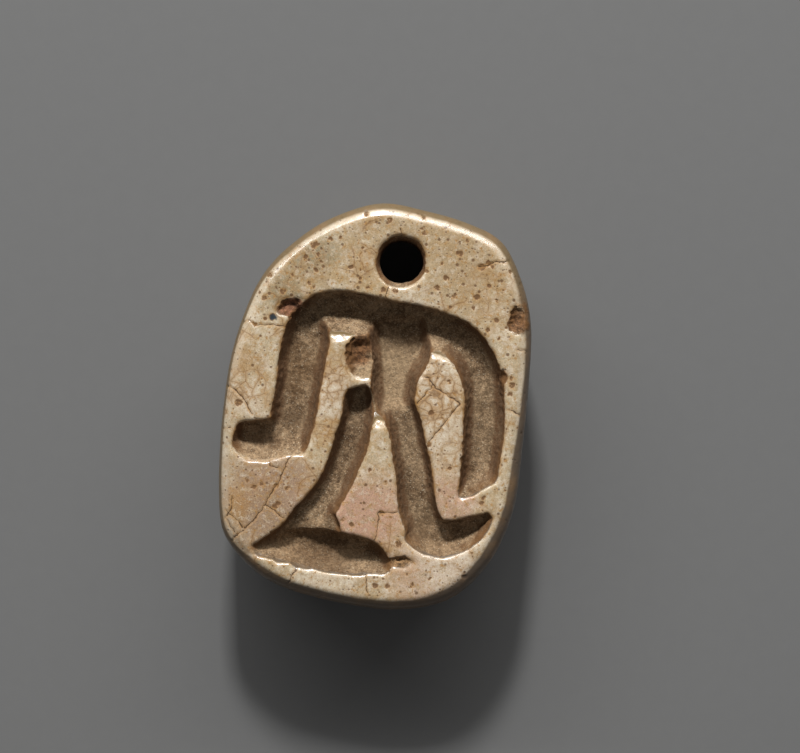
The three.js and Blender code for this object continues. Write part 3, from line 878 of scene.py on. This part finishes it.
def amulet_material(colours):
    """Crazed and pitted glaze, with bare grainy stone in the cuts and chips."""
    material, nodes, place = new_material("glazed stone")
    axes = nodes.split(place)
    worn_away = nodes.product(attribute(nodes, "slope"), 0.35)
    sunk = nodes.minus(attribute(nodes, "sunk"), worn_away)
    facing = nodes.split(attribute(nodes, "facing", "Vector"))
    pit = attribute(nodes, "pit")
    lip = attribute(nodes, "lip")
    crack_away = nodes.vector("LENGTH", attribute(nodes, "crack", "Vector"))

    # Glaze: craze lines with ochre haloes, specks, pits and cracks on its tint, and a painted
    # highlight along the upper rim
    craze = craze_group()
    speck = speck_group()
    tint = glaze_colour(nodes, place, colours)
    downwards = nodes.total(
        nodes.math("DIVIDE", axes[1], -HALF_LENGTH_MM),
        nodes.math("DIVIDE", axes[0], 2.9 * HALF_WIDTH_MM),
        nodes.swell(place, 0.6, 0.15),
    )
    lower_rim = nodes.ramp(downwards, 0.1, 0.7)
    # A whiter band along the upper rim, left off the lower rim: a painted highlight where the glaze
    # shines towards the light
    painted_rim_highlight = nodes.product(attribute(nodes, "rim"), nodes.minus(1.0, lower_rim))
    tint = nodes.laid(tint, nodes.product(painted_rim_highlight, 0.4), colours.chalk)
    crazed = 0.0
    for x, y, radius, strength in CRAZED:
        crazed = nodes.larger(crazed, stain_mask(nodes, place, x, y, radius, strength))
    net = placed(
        nodes, craze, {"Place": place, "Lines per mm": 0.95, "Width": 0.035, "Patches": 0.5}
    )
    fine_net = placed(
        nodes,
        craze,
        {"Place": place, "Lines per mm": 2.1, "Width": 0.03, "Patches": 0.6, "Placed": crazed},
    )
    halo = nodes.larger(nodes.product(net["Halo"], 0.7), fine_net["Halo"])
    spots = nodes.ramp(nodes.noise(place, 4.785, 3.0, 0.65), 0.57, 0.63)
    spots = nodes.product(spots, nodes.ramp(crazed, 0.0, 0.8, 0.25, 1.0))
    halo = nodes.larger(halo, spots)
    tint = nodes.laid(tint, nodes.product(halo, 0.65), colours.ochre)
    line = nodes.larger(nodes.product(net["Line"], 0.5), nodes.product(fine_net["Line"], 0.55))
    tint = nodes.laid(tint, line, colours.rust)
    upper_band = nodes.ramp(axes[1], 2.8, 4.6, 0.36, 0.66)
    specks = placed(nodes, speck, {"Place": place, "Spacing": 0.24, "Share": upper_band})["Mask"]
    motes = placed(nodes, speck, {"Place": place, "Spacing": 0.14, "Share": upper_band})["Mask"]
    dots = nodes.larger(nodes.product(specks, 0.85), nodes.product(motes, 0.7))
    tint = nodes.laid(tint, dots, colours.rust)
    ragged = nodes.ramp(nodes.noise(place, 8.0, 3.0, 0.7), 0.3, 0.65, 0.3, 1.5)
    ragged_pit = nodes.product(pit, ragged)
    pit_halo = nodes.ramp(ragged_pit, 0.0, 0.3, 0.0, 0.5)
    tint = nodes.laid(tint, pit_halo, colours.ochre)
    tint = nodes.laid(tint, nodes.ramp(ragged_pit, 0.3, 0.65, 0.0, 0.9), colours.rust)
    lip_side = nodes.product(lip, nodes.ramp(facing[1], 0.25, 0.05))
    lip_patches = nodes.ramp(nodes.noise(place, 1.8, 4.0), 0.4, 0.6, 0.1, 0.8)
    lip_stain = nodes.product(lip_side, lip_patches)
    tint = nodes.laid(tint, lip_stain, colours.ochre)
    crack_halo = nodes.ramp(crack_away, 0.16, 0.02, 0.0, 0.4)
    tint = nodes.laid(tint, crack_halo, colours.ochre)
    crack_reach = nodes.ramp(nodes.noise(place, 2.6, 3.0), 0.35, 0.65, 0.01, 0.034)
    crack_line = nodes.ramp(crack_away, crack_reach, nodes.product(crack_reach, 0.3))
    tint = nodes.laid(tint, nodes.product(crack_line, 0.85), colours.crack)
    tint = stained(nodes, place, colours, tint, DARK_SPOTS)

    # Sides: the glaze turns olive brown, and on the right and lower right, turned away from the
    # light, it is painted nearly black as shade
    bearing = nodes.total(
        nodes.math("DIVIDE", axes[0], HALF_WIDTH_MM),
        nodes.math("DIVIDE", axes[1], -2.5 * HALF_LENGTH_MM),
    )
    # The right and lower sides, away from the light, take the painted shade colour
    side_shade = nodes.ramp(nodes.total(bearing, nodes.swell(place, 0.5, 0.2)), 0.35, 0.95)
    side_shade = nodes.larger(side_shade, nodes.product(lower_rim, 0.85))
    side_tint = nodes.mix(side_shade, opaque(colours.side), opaque(colours.shaded_side))
    thinner = nodes.ramp(nodes.noise(place, 0.9, 5.0, 0.65), 0.46, 0.68, 0.0, 0.5)
    side_tint = nodes.laid(side_tint, thinner, colours.ochre_stone)
    leftwards = nodes.ramp(axes[0], -0.6 * HALF_WIDTH_MM, -0.9 * HALF_WIDTH_MM, 0.0, 0.1)
    raised = nodes.total(axes[2], leftwards, nodes.swell(place, 1.1, 0.03))
    drop = nodes.minus(FACE_MM, raised)
    # Along the lower rim the side colour starts nearer the face, so the painted shade there is
    # wider
    side_from = nodes.mix(lower_rim, 0.11, 0.035, "FLOAT")
    side_by = nodes.mix(lower_rim, 0.21, 0.09, "FLOAT")
    side = nodes.ramp(drop, side_from, side_by)
    side = nodes.product(side, nodes.ramp(axes[2], 0.2, 0.9, 0.35, 0.95))
    tint = nodes.mix(side, tint, side_tint)

    # Bare stone in the cuts: light grainy floors, and walls that are stained and painted darker as
    # shade where they turn sideways to the light
    chipped = 0.0
    for x, y, radius in (spot[:3] for spot in CHIPPED):
        chipped = nodes.larger(chipped, stain_mask(nodes, place, x, y, radius, 0.045))
    stone = placed(
        nodes,
        stone_group(),
        {
            "Place": place,
            "Light": opaque(colours.stone_light),
            "Dark": opaque(colours.stone_dark),
            "Glint": opaque(colours.glint),
        },
    )
    patchy = nodes.ramp(nodes.noise(place, 9.0, 4.0, 0.75), 0.35, 0.65, 0.55, 1.25)
    stain_tint = stained(nodes, place, colours, stone["Color"], STONE_STAINS)
    bare_tint = nodes.mix(0.65, stone["Color"], stain_tint)
    crumbs = nodes.ramp(nodes.noise(place, 6.5, 4.0, 0.8), 0.36, 0.64, 0.5, 1.7)
    crumbly = nodes.scaled(stained(nodes, place, colours, bare_tint, CHIPPED), crumbs)
    bare_tint = nodes.mix(nodes.ramp(chipped, 0.0, 0.035), bare_tint, crumbly)
    grainy = nodes.mix(1.0, bare_tint, nodes.combine(patchy, patchy, patchy), blend="MULTIPLY")
    bare_tint = nodes.mix(0.6, bare_tint, grainy)
    sideways = nodes.math("ABSOLUTE", facing[0])
    wall_noise = nodes.swell(place, 2.5, 0.3, 3.0)
    # Walls turned sideways to the light take the dark wall colour, partly stain and partly painted
    # shade; walls facing the light keep the stone colour
    sideways_wall_shade = nodes.ramp(nodes.total(sideways, wall_noise), 0.3, 0.7, 0.0, 0.85)
    bare_tint = nodes.laid(bare_tint, nodes.product(sideways_wall_shade, patchy), colours.wall_stain_and_shade)
    ragged_sunk = nodes.total(sunk, nodes.swell(place, 3.0, 0.12, 3.0))
    under_lip = nodes.product(nodes.ramp(ragged_sunk, 0.5, 0.15), nodes.ramp(sideways, 0.2, 0.5))
    bare_tint = nodes.laid(bare_tint, nodes.product(under_lip, 0.65), colours.wall_lip)
    edge = nodes.total(sunk, chipped, nodes.swell(place, 4.0, 0.05, 3.0))
    bare = nodes.ramp(edge, 0.06, 0.13)
    colour_out = nodes.mix(bare, tint, bare_tint)

    # Gloss: shiny glaze, dull pits and stone
    gloss = nodes.ramp(nodes.noise(place, 3.0, 3.0), 0.3, 0.7, 0.3, 0.5)
    dull = nodes.larger(bare, nodes.product(pit, 0.8))
    roughness = nodes.mix(dull, gloss, 0.9, "FLOAT")
    coat = nodes.product(nodes.minus(1.0, dull), nodes.ramp(side, 0.2, 1.0, 0.8, 0.35))
    height = nodes.total(
        nodes.product(bare, stone["Height"], 0.05),
        nodes.product(nodes.noise(place, 3.5, 2.0), 0.006),
        nodes.product(dots, -0.012),
        nodes.product(crack_line, -0.02),
        nodes.product(line, -0.006),
    )
    bump = nodes.add("ShaderNodeBump", {"Height": height, "Distance": 1.0 / MM, "Strength": 1.0})
    inputs = {
        "Base Color": colour_out,
        "Roughness": roughness,
        "Specular IOR Level": 0.3,
        "Coat Weight": coat,
        "Coat Roughness": 0.2,
        "Coat IOR": 1.6,
        "Normal": bump.outputs[0],
    }
    finish_material(nodes, inputs)
    return material


def floor_material(tone):
    material, nodes, place = new_material("plain floor")
    clouds = nodes.noise(place, 1.6, 4.0, 0.6)
    low = opaque([channel * 0.94 for channel in tone])
    finish_material(nodes, {"Base Color": nodes.laid(low, clouds, tone), "Roughness": 0.9})
    return material


# Meshes


def guide_object(name, points, edges=(), reach=None):
    """A helper that only the node tree reads, removed once the surface is made."""
    mesh = bpy.data.meshes.new(name)
    mesh.from_pydata(points, edges, [])
    if reach:
        layer = mesh.attributes.new("reach", "FLOAT", "POINT")
        layer.data.foreach_set("value", reach)
    guide = bpy.data.objects.new(name, mesh)
    bpy.context.scene.collection.objects.link(guide)
    return guide


def crack_guide():
    points = []
    edges = []
    for corners in CRACKS.values():
        for i, (x, y) in enumerate(corners):
            if i:
                edges.append((len(points) - 1, len(points)))
            points.append((x, y, 0.0))
    return guide_object("crack guide", points, edges)


def pit_guide():
    points = [(x, y, 0.0) for x, y, radius in PITS]
    return guide_object("pit guide", points, reach=[radius for x, y, radius in PITS])


def node_copy_in_mm():
    """A closed copy of the amulet's solid, in millimetres."""
    shape = bmesh.new()
    shape.from_mesh(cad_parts[NODE].data)
    bmesh.ops.remove_doubles(shape, verts=shape.verts, dist=WELD)
    bmesh.ops.transform(shape, matrix=Matrix.Scale(MM, 4), verts=shape.verts)
    mesh = bpy.data.meshes.new(PIECE)
    shape.to_mesh(mesh)
    shape.free()
    body = bpy.data.objects.new(PIECE, mesh)
    bpy.context.scene.collection.objects.link(body)
    return body


def bake(piece):
    """Replaces the piece's mesh with what its modifiers make of it, and removes them."""
    depsgraph = bpy.context.evaluated_depsgraph_get()
    evaluated = piece.evaluated_get(depsgraph)
    mesh = bpy.data.meshes.new_from_object(
        evaluated, preserve_all_data_layers=True, depsgraph=depsgraph
    )
    old = piece.data
    piece.modifiers.clear()
    piece.data = mesh
    mesh.name = piece.name
    bpy.data.meshes.remove(old)


def set_inputs(modifier, values):
    for item in modifier.node_group.interface.items_tree:
        if item.item_type == "SOCKET" and item.in_out == "INPUT" and item.name in values:
            modifier[item.identifier] = values[item.name]


def thin_plain_parts(piece, most):
    """Collapses fine squares where the surface is plain, above all on the sides and the back."""
    triangles = sum(len(face.vertices) - 2 for face in piece.data.polygons)
    group = piece.vertex_groups.new(name="plain")
    fine_from = FACE_MM - FINE_MESH_DEPTH_MM
    for vertex in piece.data.vertices:
        weight = 1.0 if vertex.co.z < fine_from else CARVED_SHARE
        group.add([vertex.index], weight, "REPLACE")
    thin = piece.modifiers.new("thin", "DECIMATE")
    thin.ratio = min(1.0, most / triangles)
    thin.vertex_group = group.name
    thin.use_collapse_triangulate = True
    bake(piece)
    piece.vertex_groups.clear()


class AMULET_OT_body(bpy.types.Operator):
    """Makes the amulet's worn, glazed surface from its solid"""

    bl_idname = "amulet.body"
    bl_label = "Amulet"

    def execute(self, context):
        sizes = context.scene.amulet_surface
        piece = node_copy_in_mm()
        remesh = piece.modifiers.new("grid", "REMESH")
        remesh.mode = "VOXEL"
        remesh.voxel_size = sizes.grid_step * MM
        guides = [pit_guide(), crack_guide()]
        worn = piece.modifiers.new("worn surface", "NODES")
        worn.node_group = worn_surface_tree()
        values = {socket_name(size): getattr(sizes, size) * MM for size in WORN_SIZES}
        values["Pits"], values["Cracks"] = guides
        values["Lip smoothing"] = sizes.lip_smoothing
        values["Worn lip smoothing"] = sizes.worn_smoothing
        values["Steepness"] = sizes.steepness
        values["Material"] = amulet_material(context.scene.amulet_colours)
        set_inputs(worn, values)
        bake(piece)
        for guide in guides:
            bpy.data.meshes.remove(guide.data)
        thin_plain_parts(piece, sizes.triangles)
        piece.data.transform(Matrix.Scale(1.0 / MM, 4))
        if not piece.data.polygons:
            raise RuntimeError("the amulet's surface came out empty")
        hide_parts(NODE)
        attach(piece, "root")
        return {"FINISHED"}


class AMULET_OT_stage(bpy.types.Operator):
    """Makes the plain floor, the soft light from the upper end and the camera"""

    bl_idname = "amulet.stage"
    bl_label = "Stage"

    def execute(self, context):
        stage = context.scene.amulet_stage
        half = stage.floor_size / 2
        mesh = bpy.data.meshes.new("floor")
        corners = [(-half, -half, 0.0), (half, -half, 0.0), (half, half, 0.0), (-half, half, 0.0)]
        mesh.from_pydata(corners, [], [(0, 1, 2, 3)])
        mesh.materials.append(floor_material(stage.floor_colour))
        floor = bpy.data.objects.new("floor", mesh)
        context.scene.collection.objects.link(floor)

        towards = Vector(
            (
                -math.sin(stage.key_turn) * math.cos(stage.key_height),
                math.cos(stage.key_turn) * math.cos(stage.key_height),
                math.sin(stage.key_height),
            )
        )
        for name, watts, long, wide in (
            ("key", stage.key_power, stage.key_size, stage.key_size),
            ("strip", stage.strip_power, stage.strip_length, stage.strip_width),
        ):
            light = bpy.data.lights.new(name, "AREA")
            light.energy = watts
            light.shape = "RECTANGLE"
            light.size = long
            light.size_y = wide
            lamp = bpy.data.objects.new(name, light)
            lamp.location = towards * stage.key_distance
            lamp.rotation_euler = towards.to_track_quat("Z", "Y").to_euler()
            context.scene.collection.objects.link(lamp)

        world = bpy.data.worlds.new("even light")
        world.use_nodes = True
        background = world.node_tree.nodes["Background"]
        background.inputs["Color"].default_value = (1.0, 1.0, 1.0, 1.0)
        background.inputs["Strength"].default_value = stage.fill
        context.scene.world = world

        lens = bpy.data.cameras.new("camera")
        lens.lens = stage.lens
        lens.sensor_width = SENSOR_MM
        lens.clip_start = NEAREST_SEEN
        camera = bpy.data.objects.new("camera", lens)
        camera.location = (*stage.camera_place, stage.camera_height)
        camera.rotation_euler = (0.0, 0.0, stage.camera_turn)
        context.scene.collection.objects.link(camera)
        context.scene.camera = camera
        context.scene.view_settings.view_transform = "Standard"
        return {"FINISHED"}


class AMULET_PT_panel(bpy.types.Panel):
    """Sizes and colours of the amulet, and buttons that make it and its stage"""

    bl_idname = "AMULET_PT_panel"
    bl_label = "Seal amulet"
    bl_space_type = "VIEW_3D"
    bl_region_type = "UI"
    bl_category = "Amulet"

    def draw(self, context):
        for group, operator in (
            ("amulet_surface", AMULET_OT_body.bl_idname),
            ("amulet_colours", None),
            ("amulet_stage", AMULET_OT_stage.bl_idname),
        ):
            box = self.layout.box()
            settings = getattr(context.scene, group)
            for name in settings.bl_rna.properties.keys():
                if name not in ("rna_type", "name"):
                    box.prop(settings, name)
            if operator:
                box.operator(operator)


CLASSES = (
    AmuletSurface,
    AmuletColours,
    AmuletStage,
    AMULET_OT_body,
    AMULET_OT_stage,
    AMULET_PT_panel,
)


def register():
    for kind in CLASSES:
        bpy.utils.register_class(kind)
    bpy.types.Scene.amulet_surface = PointerProperty(type=AmuletSurface)
    bpy.types.Scene.amulet_colours = PointerProperty(type=AmuletColours)
    bpy.types.Scene.amulet_stage = PointerProperty(type=AmuletStage)


def unregister():
    del bpy.types.Scene.amulet_stage
    del bpy.types.Scene.amulet_colours
    del bpy.types.Scene.amulet_surface
    for kind in reversed(CLASSES):
        bpy.utils.unregister_class(kind)


def main():
    register()
    bpy.ops.amulet.stage()
    bpy.ops.amulet.body()


if __name__ == "__main__":
    main()
